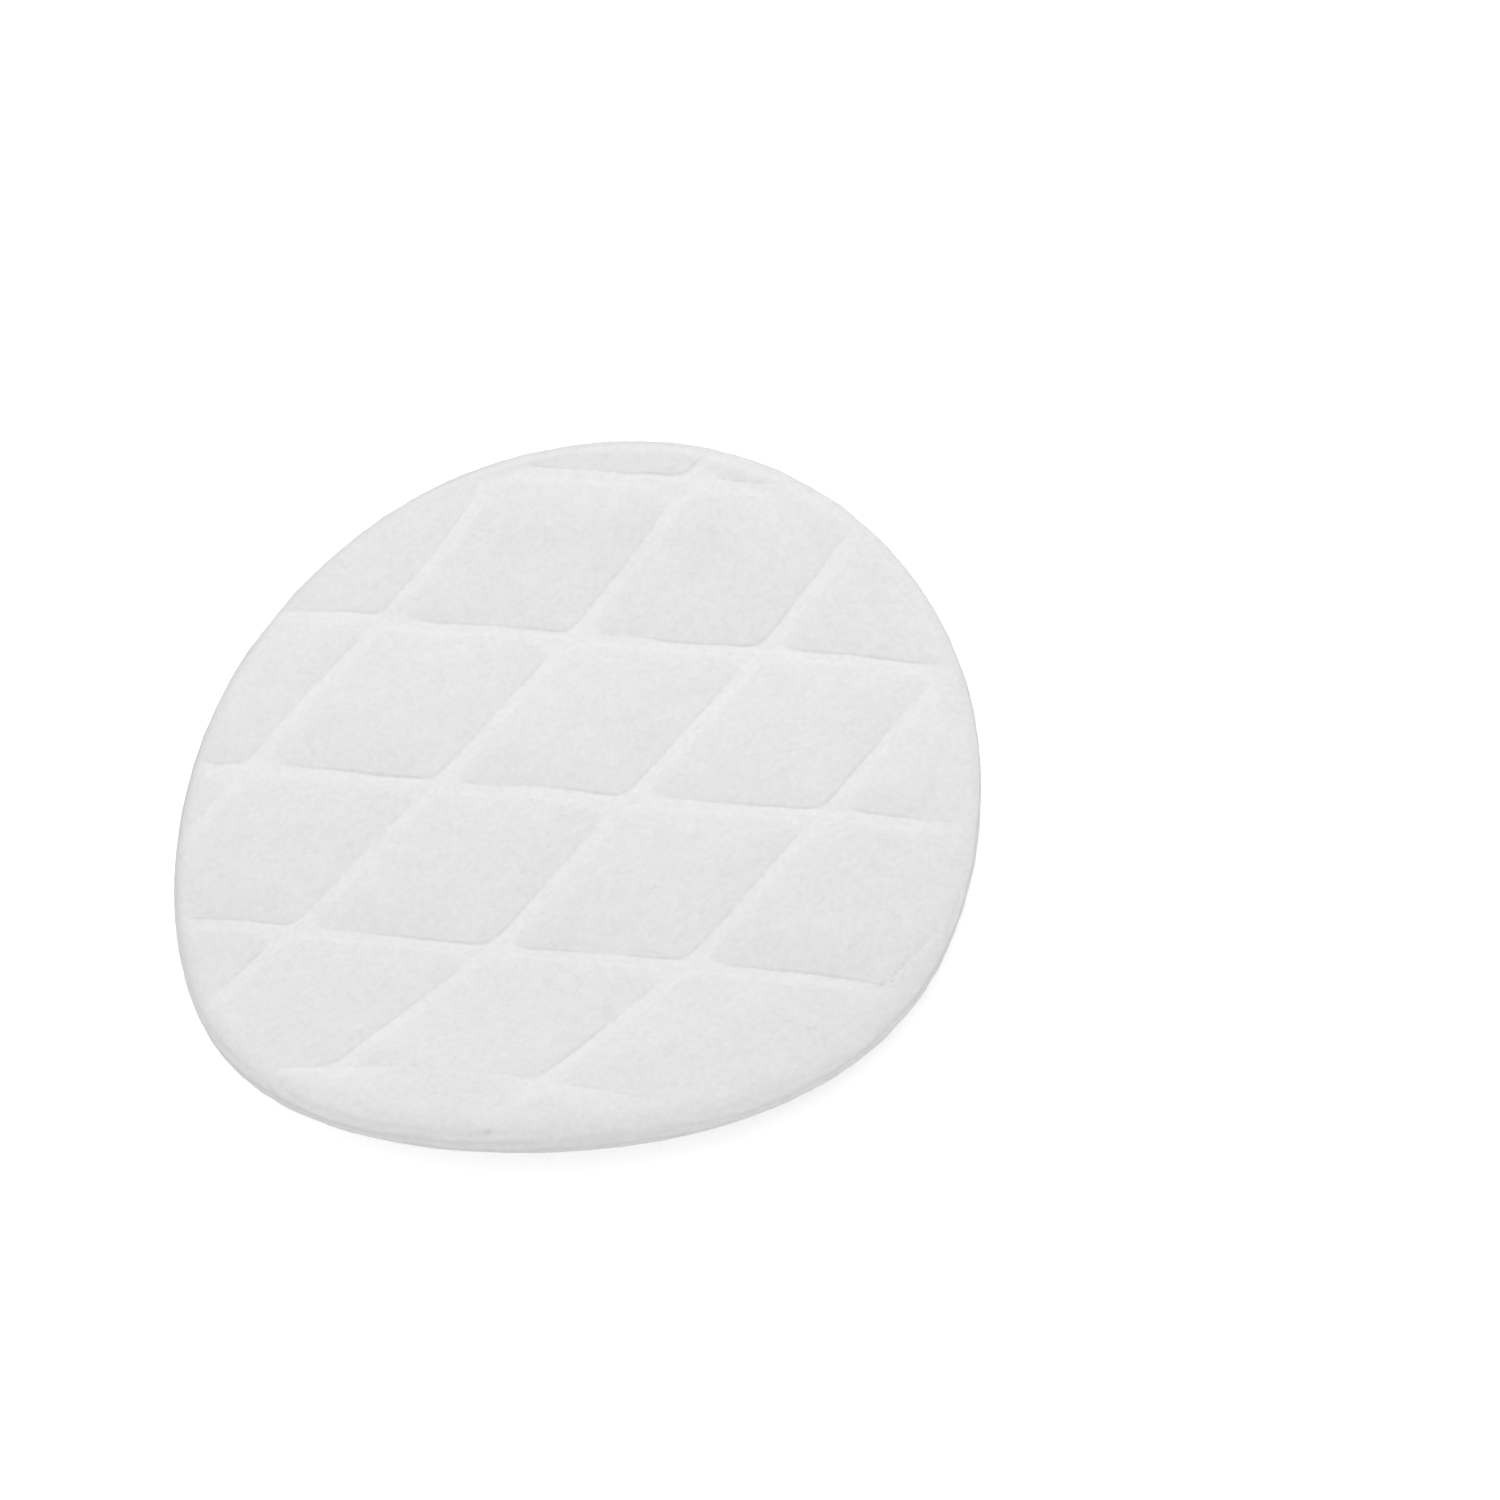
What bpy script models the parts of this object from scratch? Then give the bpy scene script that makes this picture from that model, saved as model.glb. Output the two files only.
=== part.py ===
"""A round quilted cotton pad, as it comes to rest on a table.

It is one soft disc of pressed cotton web. Diamonds are quilted into its upper face, and more faintly
into its underside. Its rim is cut round and rubbed soft, and two opposite sides curl up a little.

Lengths are in metres and +Z is up. The pad lies on Z = 0, with the origin under the middle of its
outline, and +X runs along the long diagonal of the diamonds.
"""

import math

import bmesh
import bpy
from mathutils import Vector

MM = 0.001

# The blank that the pad is cut to
PAD_DIAMETER = 58.0 * MM
PAD_THICKNESS = 4.2 * MM
RIM_ROUNDING = 1.4 * MM
RIM_SKIM = 0.2 * MM
RIM_PINCH_WIDTH = 6.5 * MM
RIM_PINCH = 0.5

# The quilting: two families of grooves that cross, with a pillow in each diamond
DIAMOND_SIDE = 14.4 * MM
DIAMOND_ANGLE = math.radians(60.8)
FIRST_CROSSING = (4.15 * MM, -1.8 * MM)
GROOVE_FLOOR = 0.7 * MM
WALL_DEPTH = 0.12 * MM
WALL_RUN = 0.16 * MM
SHOULDER_DEPTH = 0.45 * MM
SHOULDER_REACH = 5.0 * MM
UNDER_GROOVE_DEPTH = 0.35 * MM
UNDER_SHOULDER_REACH = 2.1 * MM
SHARP_CORNER_BLEND = 2.2 * MM
BLUNT_CORNER_BLEND = 0.9 * MM
QUILT_FADE = 2.2 * MM

# The curl of two opposite sides. The two middle rows of pillows stay down, and the curl starts a
# little inside the grooves that end them
CURL_LIFT = 4.6 * MM
CURL_START_INSET = 2.3 * MM

# The pull of the soft web out of round: number of lobes, share of the radius, heading of a lobe
WEB_PULLS = (
    (2, 0.0088, math.radians(-56.5)),
    (3, 0.0062, math.radians(-45.5)),
    (4, 0.016, math.radians(26.0)),
)

# How finely the faces are divided: the shares of a shoulder's reach at which the dies have lines
RIM_SEGMENTS = 120
ROUNDING_STEPS = 5
SHOULDER_STEPS = (0.1, 0.27, 0.52, 0.82)
UNDER_SHOULDER_STEPS = (0.3, 1.0)

# The finish
COTTON_COLOUR = (0.82, 0.82, 0.815, 1.0)
COTTON_ROUGHNESS = 1.0

# What follows from the sizes above
PAD_RADIUS = PAD_DIAMETER / 2
GROOVE_SPACING = DIAMOND_SIDE * math.sin(DIAMOND_ANGLE)
HALF_ANGLE = DIAMOND_ANGLE / 2
FIRST_RUN = Vector((math.cos(HALF_ANGLE), -math.sin(HALF_ANGLE)))
SECOND_RUN = Vector((math.cos(HALF_ANGLE), math.sin(HALF_ANGLE)))
CURL_HEADING = Vector((math.sin(HALF_ANGLE), math.cos(HALF_ANGLE)))
CURL_FLAT_STRIP = 2 * (GROOVE_SPACING - CURL_START_INSET)
DIE_BACKING = PAD_THICKNESS


def clear_scene():
    for old in list(bpy.data.objects):
        bpy.data.objects.remove(old, do_unlink=True)


def new_collection(name):
    collection = bpy.data.collections.new(name)
    bpy.context.scene.collection.children.link(collection)
    return collection


def add_object(name, mesh, collection):
    made = bpy.data.objects.new(name, mesh)
    collection.objects.link(made)
    return made


def cotton_material():
    material = bpy.data.materials.new("pressed cotton")
    material.use_nodes = True
    shader = material.node_tree.nodes["Principled BSDF"]
    shader.inputs["Base Color"].default_value = COTTON_COLOUR
    shader.inputs["Roughness"].default_value = COTTON_ROUGHNESS
    shader.inputs["Metallic"].default_value = 0.0
    return material


def half_profile():
    """The blank's outer profile, from its top middle down to its bottom middle. Each rounding rises
    a skim past the face, so that the die leaves a soft edge there instead of a tangent one."""
    top = PAD_THICKNESS + RIM_SKIM
    bottom = -RIM_SKIM
    inner = PAD_RADIUS - RIM_ROUNDING
    points = [(0.0, top)]
    for step in range(ROUNDING_STEPS + 1):
        turn = math.radians(90.0) * (1 - step / ROUNDING_STEPS)
        x = inner + RIM_ROUNDING * math.cos(turn)
        points.append((x, top - RIM_ROUNDING + RIM_ROUNDING * math.sin(turn)))
    for step in range(ROUNDING_STEPS + 1):
        turn = math.radians(90.0) * step / ROUNDING_STEPS
        x = inner + RIM_ROUNDING * math.cos(turn)
        points.append((x, bottom + RIM_ROUNDING - RIM_ROUNDING * math.sin(turn)))
    points.append((0.0, bottom))
    return points


def turned_blank(collection):
    """The round blank, turned from its profile."""
    mesh = bpy.data.meshes.new("cotton_blank")
    points = half_profile()
    edges = [(index, index + 1) for index in range(len(points) - 1)]
    mesh.from_pydata([(x, 0.0, z) for x, z in points], edges, [])
    blank = add_object("cotton_blank", mesh, collection)
    turning = blank.modifiers.new("turning", "SCREW")
    turning.axis = "Z"
    turning.steps = RIM_SEGMENTS
    turning.render_steps = RIM_SEGMENTS
    turning.use_merge_vertices = True
    turning.merge_threshold = 0.00001
    turning.use_smooth_shade = True
    return blank


def soft_minimum(first, second, blend):
    """The smaller of two distances, eased over a stretch where they are alike. Contours of it turn
    a corner in a curve, which rounds the pillows where grooves cross."""
    share = max(blend - abs(first - second), 0.0) / blend
    return min(first, second) - share * share * blend / 4


def inward_distance(across_first, across_second):
    """How far a point lies from the nearest groove, eased at the corners of its pillow. Its place is
    counted in groove spacings across each family. A pillow's sharp corners lie where both counts
    are nearest the same end of the cell, and they take more easing than its blunt ones."""
    to_first = abs(across_first - round(across_first)) * GROOVE_SPACING
    to_second = abs(across_second - round(across_second)) * GROOVE_SPACING
    same_end = (across_first % 1 < 0.5) == (across_second % 1 < 0.5)
    blend = SHARP_CORNER_BLEND if same_end else BLUNT_CORNER_BLEND
    return soft_minimum(to_first, to_second, blend)


def left_to_climb(past_floor, reach):
    """From 1 at the edge of a groove's floor to 0 at a reach past it, steep first and then level."""
    climb = min(max(past_floor / reach, 0.0), 1.0)
    return (1 - climb) ** 3


def quilt_fade(radius):
    """1 over most of the pad, easing to 0 at the rim, where the web is too loose to hold a press."""
    share = min(max((PAD_RADIUS - radius) / QUILT_FADE, 0.0), 1.0)
    return share * share * (3 - 2 * share)


def upper_height(inward, radius):
    past_floor = inward - GROOVE_FLOOR / 2
    wall = WALL_DEPTH * (1 - min(max(past_floor / WALL_RUN, 0.0), 1.0))
    shoulder = SHOULDER_DEPTH * left_to_climb(past_floor, SHOULDER_REACH)
    return PAD_THICKNESS - (wall + shoulder) * quilt_fade(radius)


def lower_height(inward, radius):
    shoulder = left_to_climb(inward - GROOVE_FLOOR / 2, UNDER_SHOULDER_REACH)
    return UNDER_GROOVE_DEPTH * shoulder * quilt_fade(radius)


def upper_lines():
    """Distances from a groove at which the upper die has lines: they crowd at the wall."""
    floor = GROOVE_FLOOR / 2
    return [floor, floor + WALL_RUN] + [floor + SHOULDER_REACH * step for step in SHOULDER_STEPS]


def lower_lines():
    """The same for the lower die. The last line lies past a pillow's eased corners too, so that
    what is inside it is flat all over."""
    floor = GROOVE_FLOOR / 2
    lines = [floor] + [floor + UNDER_SHOULDER_REACH * step for step in UNDER_SHOULDER_STEPS]
    return lines + [floor + UNDER_SHOULDER_REACH + SHARP_CORNER_BLEND / 4]


def lines_over(distances, cells):
    """Places of a die's grid lines, counted in groove spacings, with a groove at each whole one."""
    half = [0.0] + [distance / GROOVE_SPACING for distance in distances] + [0.5]
    one_cell = half + [1 - place for place in reversed(half[1:-1])]
    places = [cell + place for cell in range(-cells, cells) for place in one_cell]
    return places + [float(cells)]


def quilting_die(name, distances, height, back, collection):
    """A die with the quilted face on one side and a flat back, wide enough to cover the blank."""
    far = PAD_RADIUS + Vector(FIRST_CROSSING).length
    cells = math.ceil(far / GROOVE_SPACING) + 1
    lines = lines_over(distances, cells)
    form = bmesh.new()
    bmesh.ops.create_grid(form, x_segments=len(lines) - 1, y_segments=len(lines) - 1, size=1.0)
    for point in form.verts:
        across_first = lines[round((point.co.y + 1) / 2 * (len(lines) - 1))]
        across_second = lines[round((point.co.x + 1) / 2 * (len(lines) - 1))]
        inward = inward_distance(across_first, across_second)
        place = FIRST_RUN * (across_second * DIAMOND_SIDE)
        place = place + SECOND_RUN * (across_first * DIAMOND_SIDE)
        place = place + Vector(FIRST_CROSSING)
        point.co = (place.x, place.y, height(inward, place.length))
    backed = bmesh.ops.extrude_face_region(form, geom=list(form.faces))
    for item in backed["geom"]:
        if isinstance(item, bmesh.types.BMVert):
            item.co.z = back
    bmesh.ops.recalc_face_normals(form, faces=list(form.faces))
    mesh = bpy.data.meshes.new(name)
    form.to_mesh(mesh)
    form.free()
    die = add_object(name, mesh, collection)
    die.hide_render = True
    die.display_type = "WIRE"
    return die


def press(blank, die):
    """Takes out of the blank what the die presses away."""
    pressing = blank.modifiers.new("pressed by " + die.name, "BOOLEAN")
    pressing.operation = "DIFFERENCE"
    pressing.solver = "EXACT"
    pressing.object = die


def pinched(radius, height):
    """Height of a point once the rim is pinched: the knife and the handling thin it from both faces,
    so the web tapers a little before it turns over."""
    share = min(max(1 - (PAD_RADIUS - radius) / RIM_PINCH_WIDTH, 0.0), 1.0)
    middle = PAD_THICKNESS / 2
    return middle + (height - middle) * (1 - RIM_PINCH * share**1.5)


def pulled(x, y):
    """Where the pull of the web takes a point. It grows towards the rim, and is none at the middle."""
    radius = math.hypot(x, y) / PAD_RADIUS
    heading = math.atan2(y, x)
    stretch = 1.0
    for lobes, share, lobe_heading in WEB_PULLS:
        stretch += share * radius**lobes * math.cos(lobes * (heading - lobe_heading))
    return Vector((x * stretch, y * stretch))


def curled(place, height):
    """Lifts a point with the curl. The web keeps its thickness, so a point above the underside leans
    inwards by its height times the slope under it."""
    across = place.dot(CURL_HEADING)
    free_width = PAD_RADIUS - CURL_FLAT_STRIP / 2
    past = max(abs(across) - CURL_FLAT_STRIP / 2, 0.0) / free_width
    slope = math.copysign(2 * CURL_LIFT * past / free_width, across)
    leaned = place - CURL_HEADING * (slope * height)
    return Vector((leaned.x, leaned.y, height + CURL_LIFT * past * past))


def settled_mesh(name, pressed):
    """The pressed pad's mesh with the pinch, the pull and the curl of a pad at rest, centred on its
    outline."""
    evaluated = pressed.evaluated_get(bpy.context.evaluated_depsgraph_get())
    mesh = bpy.data.meshes.new_from_object(evaluated)
    mesh.name = name
    for vertex in mesh.vertices:
        x, y, height = vertex.co
        vertex.co = curled(pulled(x, y), pinched(math.hypot(x, y), height))
    columns = [vertex.co.x for vertex in mesh.vertices]
    rows = [vertex.co.y for vertex in mesh.vertices]
    middle = Vector(((min(columns) + max(columns)) / 2, (min(rows) + max(rows)) / 2, 0.0))
    for vertex in mesh.vertices:
        vertex.co = vertex.co - middle
    print("middle of the outline before centring", [round(value / MM, 3) for value in middle], "mm")
    return mesh


def build():
    clear_scene()
    pad_collection = new_collection("cotton pad")
    cutters = new_collection("dies and blank")
    blank = turned_blank(cutters)
    upper_back = PAD_THICKNESS + DIE_BACKING
    upper = quilting_die("upper_die", upper_lines(), upper_height, upper_back, cutters)
    lower = quilting_die("lower_die", lower_lines(), lower_height, -DIE_BACKING, cutters)
    press(blank, upper)
    press(blank, lower)
    bpy.context.view_layer.update()
    mesh = settled_mesh("cotton_pad", blank)
    mesh.materials.clear()
    mesh.materials.append(cotton_material())
    mesh.shade_smooth()
    mesh.set_sharp_from_angle(angle=math.radians(40.0))
    pad = add_object("cotton_pad", mesh, pad_collection)
    blank.hide_render = True
    blank.display_type = "WIRE"
    return pad


pad = build()
print("cotton pad", [round(side / MM, 2) for side in pad.dimensions], "mm,", len(pad.data.polygons))
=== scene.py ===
# %% [markdown]
# # A quilted cotton pad
#
# A cotton pad is one round of carded cotton. The web is pressed between two heated rollers whose
# ridges quilt a lattice of diamonds into it, and then a round knife cuts the pad out in one stroke.
# Nothing is sewn and nothing is stuffed: the pillows are simply where the rollers didn't press.
#
# The imported model is loaded first. It is the fixed frame.

# %% Load the frame
import math

import bmesh
import bpy
import numpy as np
from mathutils import Matrix, Vector, noise
from mathutils.geometry import delaunay_2d_cdt


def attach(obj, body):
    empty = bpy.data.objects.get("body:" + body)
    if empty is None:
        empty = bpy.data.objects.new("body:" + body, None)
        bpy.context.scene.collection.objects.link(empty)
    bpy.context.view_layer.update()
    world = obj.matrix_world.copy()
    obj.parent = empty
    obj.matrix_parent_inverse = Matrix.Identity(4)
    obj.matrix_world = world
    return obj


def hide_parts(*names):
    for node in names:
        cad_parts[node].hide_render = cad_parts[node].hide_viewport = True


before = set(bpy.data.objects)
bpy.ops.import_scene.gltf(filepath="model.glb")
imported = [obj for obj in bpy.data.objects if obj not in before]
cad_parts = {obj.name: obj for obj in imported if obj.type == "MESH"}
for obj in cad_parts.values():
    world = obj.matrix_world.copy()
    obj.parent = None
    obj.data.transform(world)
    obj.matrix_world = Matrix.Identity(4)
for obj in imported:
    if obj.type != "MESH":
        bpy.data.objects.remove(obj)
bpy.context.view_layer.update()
MM = 0.001
print("frame nodes", sorted(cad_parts))

# %% [markdown]
# ## Sizes
#
# The sizes are the ones that the solid was made to. Everything below is worked out from them, so
# the dressed pad and the solid share one shape. All lengths are in metres.

# %% The pad's sizes
PAD_RADIUS = 29.0 * MM
PAD_THICKNESS = 4.2 * MM
RIM_ROUNDING = 1.4 * MM
RIM_SQUARENESS = 2.1
RIM_PINCH_WIDTH = 6.5 * MM
RIM_PINCH = 0.5

DIAMOND_SIDE = 14.4 * MM
DIAMOND_ANGLE = math.radians(60.8)
FIRST_CROSSING = np.array((4.15, -1.8)) * MM
GROOVE_FLOOR = 0.7 * MM
WALL_DEPTH = 0.075 * MM
WALL_RUN = 0.16 * MM
SHOULDER_DEPTH = 0.45 * MM
SHOULDER_REACH = 5.0 * MM
UNDER_GROOVE_DEPTH = 0.35 * MM
UNDER_SHOULDER_REACH = 2.1 * MM
SHARP_CORNER_BLEND = 2.2 * MM
BLUNT_CORNER_BLEND = 0.9 * MM
QUILT_FADE = 2.0 * MM
NEAR_SIDE_FADE = 3.5 * MM
NEAR_SIDE = math.radians(-95.0)

CURL_LIFT = 4.6 * MM
CURL_START_INSET = 2.3 * MM
WEB_PULLS = ((2, 0.0088, -56.5), (3, 0.0062, -45.5), (4, 0.016, 26.0))

GROOVE_SPACING = DIAMOND_SIDE * math.sin(DIAMOND_ANGLE)
HALF_ANGLE = DIAMOND_ANGLE / 2
FIRST_RUN = np.array((math.cos(HALF_ANGLE), -math.sin(HALF_ANGLE)))
SECOND_RUN = np.array((math.cos(HALF_ANGLE), math.sin(HALF_ANGLE)))
CURL_HEADING = np.array((math.sin(HALF_ANGLE), math.cos(HALF_ANGLE)))
CURL_FLAT_STRIP = 2 * (GROOVE_SPACING - CURL_START_INSET)
print("groove spacing", round(GROOVE_SPACING / MM, 2), "mm")

# %% [markdown]
# ## Soft noise
#
# Real cotton is never quite even. Blender's own noise gives a smooth, repeatable unevenness: the
# same point always gets the same value, so the pad comes out the same on every run.


# %% A noise helper
def soft_noise(points, pitch, offset, stretch=(1.0, 1.0, 1.0)):
    """Smooth noise from about -1 to 1 at each point, with bumps about one pitch across."""
    scaled = np.asarray(points) / pitch * np.array(stretch) + offset
    return np.array([noise.noise(Vector(point)) for point in scaled])


print("noise at one place", round(soft_noise([(1.0, 2.0, 3.0)], 0.7, offset=0.0)[0], 3))

# %% [markdown]
# ## The quilting as a height
#
# Two families of straight grooves cross. For any point, the distance to the nearest groove of each
# family says how high the web stands there. A soft minimum of the two distances rounds the corners
# of the pillows. A thin steep wall gives the pressed edge its fine dark line, and a long shoulder
# above it makes each pillow a low cushion.


# %% Small helpers for round shapes and soft steps
def radius_of(points):
    """How far each point lies from the pad's middle."""
    return np.hypot(points[:, 0], points[:, 1])


def heading_of(points):
    """The direction of each point, as seen from the pad's middle."""
    return np.arctan2(points[:, 1], points[:, 0])


def eased(share):
    """A share from 0 to 1 that leaves 0 softly and reaches 1 softly."""
    return share**2 * (3 - 2 * share)


print("a quarter, eased, is", eased(0.25))

# %% Distance to the grooves, and the height of a pillow
SHOULDER_CURVE = 3
NEAR_SIDE_CURVE = 3
NEARLY_ZERO = 1e-4


def lattice_steps(points):
    """How many groove spacings each point lies from the two grooves through the first crossing."""
    x, y = (points - FIRST_CROSSING).T
    spread = 2 * FIRST_RUN[0] * SECOND_RUN[1]
    along_first = (x * SECOND_RUN[1] - y * SECOND_RUN[0]) / spread
    along_second = (y * FIRST_RUN[0] - x * FIRST_RUN[1]) / spread
    return along_second / DIAMOND_SIDE, along_first / DIAMOND_SIDE


def inward_distance(points):
    """Distance from the nearest groove, eased at the corners of a pillow: more at its two sharp
    corners than at its two blunt ones."""
    across_first, across_second = lattice_steps(points)
    to_first = np.abs(across_first - np.round(across_first)) * GROOVE_SPACING
    to_second = np.abs(across_second - np.round(across_second)) * GROOVE_SPACING
    first_share = across_first % 1 - 0.5
    second_share = across_second % 1 - 0.5
    along_long = (first_share + second_share) ** 2
    along_short = (first_share - second_share) ** 2
    sharpness = along_long / (along_long + along_short + NEARLY_ZERO)
    blend = BLUNT_CORNER_BLEND + (SHARP_CORNER_BLEND - BLUNT_CORNER_BLEND) * sharpness
    share = np.maximum(blend - np.abs(to_first - to_second), 0.0) / blend
    return np.minimum(to_first, to_second) - share**2 * blend / 4


def left_to_climb(past_floor, reach):
    """From 1 at the edge of a groove's floor to 0 at a reach past it."""
    return (1 - np.clip(past_floor / reach, 0.0, 1.0)) ** SHOULDER_CURVE


def quilt_fade(points):
    """1 over most of the pad, easing to 0 at the rim, and sooner on the side that was handled."""
    handled = np.clip(np.cos(heading_of(points) - NEAR_SIDE), 0.0, 1.0) ** NEAR_SIDE_CURVE
    fade_width = QUILT_FADE + NEAR_SIDE_FADE * handled
    return eased(np.clip((PAD_RADIUS - radius_of(points)) / fade_width, 0.0, 1.0))


pillow_middle = FIRST_CROSSING + DIAMOND_SIDE / 2 * (FIRST_RUN + SECOND_RUN)
middle_distance = inward_distance(pillow_middle[None])[0]
print("a pillow's middle lies", round(middle_distance / MM, 2), "mm from a groove")

# %% [markdown]
# ## Where to put the points
#
# A face that turns sharply needs many points and a flat one needs few. So the points of each sheet
# lie on lines that run with the grooves and crowd at them, and the rim has rings of its own.
# Delaunay triangulation then joins both kinds of point into one sheet without a seam.

# %% Lines that crowd at the grooves
RING_INSET = 0.45 * MM
RING_START = PAD_RADIUS - RING_INSET


def turn_at(radius):
    """How far the rim has turned over at a radius: 0 on the flat, a quarter turn at the rim."""
    share = np.clip((radius - PAD_RADIUS + RIM_ROUNDING) / RIM_ROUNDING, 0.0, 1.0)
    return np.arcsin(share ** (RIM_SQUARENESS / 2))


def crowded_lines(near, pitch):
    """Distances from a groove to the middle of a pillow: the near ones, then even steps."""
    last = near[-1]
    half = GROOVE_SPACING / 2
    count = max(round((half - last) / pitch), 1)
    return list(near) + [last + (half - last) * (index + 1) / count for index in range(count)]


def groove_lines(half_cell):
    """Lines over the whole pad, counted in groove spacings."""
    cells = math.ceil((PAD_RADIUS + np.linalg.norm(FIRST_CROSSING)) / GROOVE_SPACING) + 1
    places = set()
    for cell in range(-cells, cells + 1):
        for distance in half_cell:
            places.add(round(cell + distance / GROOVE_SPACING, 6))
            places.add(round(cell - distance / GROOVE_SPACING, 6))
    return np.array(sorted(places))


def lattice_links(inside):
    """Pairs of neighbours along both families of lines, as far as both lie on the sheet."""
    number = np.where(inside, np.cumsum(inside).reshape(inside.shape) - 1, -1)
    along = inside[:, :-1] & inside[:, 1:]
    over = inside[:-1] & inside[1:]
    first = np.column_stack([number[:, :-1][along], number[:, 1:][along]])
    second = np.column_stack([number[:-1][over], number[1:][over]])
    return np.concatenate([first, second])


print("the rim's rings start at", round(RING_START / MM, 2), "mm")

# %% [markdown]
# The rim also carries a short fold, which is pressed in further on. It is far narrower than the
# spacing of the points there, so it gets close rows of its own now.

# %% Rows along the fold
FOLD_RADIUS = 28.0 * MM
FOLD_HEADING = math.radians(-49.0)
FOLD_HALF_SPAN = math.radians(10.0)
FOLD_SKEW = 4.5 * MM
FOLD_WIDTH = 0.17 * MM
FOLD_STEPS = 51
FOLD_ROWS = (-2, -1.2, -0.6, 0, 0.6, 1.2, 2)
FOLD_CLEARANCE = 0.12 * MM


def fold_place(points):
    """How far round the rim each point lies from the fold's middle, and how far off its line."""
    past = heading_of(points) - FOLD_HEADING
    return past, radius_of(points) - FOLD_RADIUS - FOLD_SKEW * past


def fold_rows():
    """Close rows of points along the fold, as far as they lie inside the rings."""
    past, off = np.meshgrid(np.linspace(-1, 1, FOLD_STEPS), np.array(FOLD_ROWS))
    past = past.ravel() * FOLD_HALF_SPAN
    radius = FOLD_RADIUS + FOLD_SKEW * past + off.ravel() * FOLD_WIDTH
    heading = FOLD_HEADING + past
    rows = np.column_stack([radius * np.cos(heading), radius * np.sin(heading)])
    return rows[radius < RING_START - FOLD_CLEARANCE]


print("the fold adds", len(fold_rows()), "points")


# %% One flat sheet of points
def sheet_template(half_cell, segments, rings, extra=None):
    """Flat points of one sheet, the turn of the rim at each, and the links to keep."""
    lines = groove_lines(half_cell)
    first, second = np.meshgrid(lines, lines)
    face = FIRST_CROSSING + DIAMOND_SIDE * (
        second.reshape(-1, 1) * FIRST_RUN + first.reshape(-1, 1) * SECOND_RUN
    )
    ring_gap = 2 * math.pi * RING_START / segments
    inside = radius_of(face) < RING_START - ring_gap / 2
    face = face[inside]
    if extra is not None:
        face = np.concatenate([face, extra])
    around = np.linspace(0, 2 * math.pi, segments, endpoint=False)
    turns = np.linspace(turn_at(RING_START), math.pi / 2, rings)
    ring_points = []
    for index in range(rings):
        spread = RING_START + ring_gap * index
        ring_points.append(np.stack([spread * np.cos(around), spread * np.sin(around)], 1))
    points = np.concatenate([face] + ring_points)
    turn = np.concatenate([turn_at(radius_of(face)), np.repeat(turns, segments)])
    return points, turn, lattice_links(inside.reshape(first.shape))


# %% [markdown]
# ## From a flat template to a half of the pad
#
# The rings are wrapped round the edge: a squarish curve takes them from the face down to the
# middle of the rim. The upper and the lower half then meet there, point on point.

# %% Wrap a template into a half shell
TINY_LENGTH = 1e-9
SAME_PLACE = 1e-5


def outward(points):
    """The level direction from the pad's middle to each point."""
    return points[:, :2] / np.maximum(radius_of(points), TINY_LENGTH)[:, None]


def wrapped_half(template, turn, side):
    """The plain half shell, before quilting. side is 1 for the upper half and -1 for the lower."""
    power = 2 / RIM_SQUARENESS
    wrapped = PAD_RADIUS - RIM_ROUNDING + RIM_ROUNDING * np.sin(turn) ** power
    radius = np.where(turn > 0, wrapped, radius_of(template))
    half = PAD_THICKNESS / 2
    height = half + side * half * np.clip(np.cos(turn), 0.0, 1.0) ** power
    return np.column_stack([outward(template) * radius[:, None], height])


def triangulated(template, links):
    """Triangles over the template's points that never cross a line of the lattice."""
    scaled = [Vector(point) for point in template / MM]
    made = delaunay_2d_cdt(scaled, links.tolist(), [], 0, SAME_PLACE)
    faces, origins = made[2], made[3]
    return [[origins[index][0] for index in face] for face in faces]


# %% [markdown]
# ## Pressing the quilting in
#
# The height comes off the half shell along Z. It fades out at the rim, where the web is too loose
# to hold a press. Small, named unevennesses make it cotton: the walls are deeper here than there,
# and each pillow stands a hair higher or lower than the next. The wander of the grooves comes
# after, as a drift of the finished points, so the close lines of points stay on the walls that
# they draw.

# %% How uneven the press is
WALL_CURVE = 1.5
WALL_UNEVEN = 1.3
WALL_UNEVEN_PITCH = 5.0 * MM
WALL_MIDDLE = 0.75
WALL_LEAST = 0.1
BLUNT_CORNER_MORE = 0.6
BLUNT_CORNER_SHARE = 0.35
SOFT_SIDE_RUN = 0.55 * MM
SOFT_SIDE_SHARE = 0.2
CORNER_EASE = 0.3 * MM
PILLOW_UNEVEN = 0.07 * MM
PILLOW_ROWS = 24
rng = np.random.default_rng(58)
pillow_heights = rng.uniform(-1.0, 0.0, (PILLOW_ROWS, PILLOW_ROWS)) * PILLOW_UNEVEN
print("pillows differ by up to", round(np.ptp(pillow_heights) / MM, 3), "mm in height")


# %% Steep sides and soft sides
def steep_side(points):
    """1 where a pillow's edge stands steep over its groove and 0 where it leans in softly. The web
    creeps under the rollers, so each pillow has two steep sides that meet and two soft ones. Over
    the floor of a groove the one eases into the other, so the floor itself leans."""
    across_first, across_second = lattice_steps(points)
    to_first = (across_first - np.round(across_first)) * GROOVE_SPACING
    to_second = (np.round(across_second) - across_second) * GROOVE_SPACING
    first_share, second_share = (
        eased(np.clip(0.5 + offset / GROOVE_FLOOR, 0.0, 1.0)) for offset in (to_first, to_second)
    )
    far_first = np.abs(to_first) ** 3 + CORNER_EASE**3
    far_second = np.abs(to_second) ** 3 + CORNER_EASE**3
    return (first_share * far_second + second_share * far_first) / (far_first + far_second)


# %% [markdown]
# Handling wears a pad before it is used. One stretch of a groove near the rim has swollen almost
# shut again, so the press is eased there on the upper side.

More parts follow.
